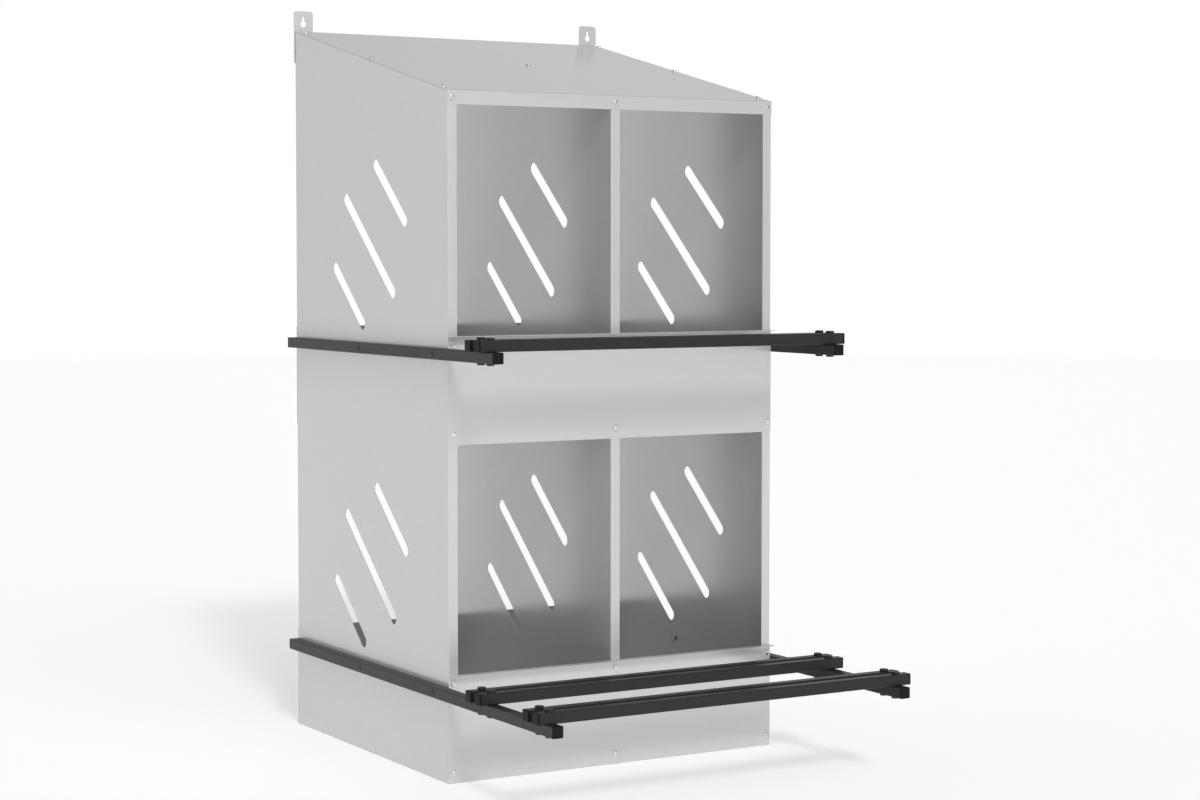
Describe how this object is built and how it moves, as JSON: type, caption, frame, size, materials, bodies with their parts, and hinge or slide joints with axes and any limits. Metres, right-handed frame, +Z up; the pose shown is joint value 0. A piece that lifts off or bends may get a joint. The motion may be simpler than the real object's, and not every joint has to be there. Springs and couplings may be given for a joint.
{
  "type": "chicken nesting box",
  "caption": "Folded galvanised nesting box with stacked rows of open-fronted hen nests, slanting vent slots, a sloping roof, black twin-rail perches and keyhole hanging tabs.",
  "frame": {"origin": "on the ground, under the middle of the whole object's footprint, perches and hanging tabs included", "axes": "+Z up, -Y out of the open fronts towards the perches, +X to the right of someone facing the fronts"},
  "size_m": [0.609, 0.859, 1.135],
  "materials": {
    "galvanised_sheet": "satin zinc coat with a faint grain",
    "zinc_hardware": "bright zinc plating",
    "black_tube": "satin black powder coat",
    "black_plastic": "matt moulded plastic",
    "black_hardware": "satin black plating"
  },
  "bodies": {
    "root": {"left_side_panel": "galvanised_sheet", "right_side_panel": "galvanised_sheet", "center_divider": "galvanised_sheet", "roof_panel": "galvanised_sheet", "upper_front_board": "galvanised_sheet", "lower_front_board": "galvanised_sheet", "upper_rear_board": "galvanised_sheet", "lower_rear_board": "galvanised_sheet", "upper_left_floor": "galvanised_sheet", "upper_right_floor": "galvanised_sheet", "lower_left_floor": "galvanised_sheet", "lower_right_floor": "galvanised_sheet", "left_hanging_tab": "galvanised_sheet", "right_hanging_tab": "galvanised_sheet", "roof_screws": "zinc_hardware", "roof_nuts": "zinc_hardware", "front_board_screws": "zinc_hardware", "front_board_nuts": "zinc_hardware", "rear_board_screws": "zinc_hardware", "rear_board_nuts": "zinc_hardware", "tab_screws": "zinc_hardware", "tab_nuts": "zinc_hardware", "perch_arm_nuts": "zinc_hardware", "upper_left_perch_arm": "black_tube", "upper_right_perch_arm": "black_tube", "lower_left_perch_arm": "black_tube", "lower_right_perch_arm": "black_tube", "upper_perch_rear_rail": "black_tube", "upper_perch_front_rail": "black_tube", "lower_inner_perch_rear_rail": "black_tube", "lower_inner_perch_front_rail": "black_tube", "lower_outer_perch_rear_rail": "black_tube", "lower_outer_perch_front_rail": "black_tube", "perch_arm_caps": "black_plastic", "perch_rail_caps": "black_plastic", "perch_arm_bolts": "black_hardware", "perch_rail_bolts": "black_hardware", "perch_rail_nuts": "black_hardware"}
  },
  "joints": []
}
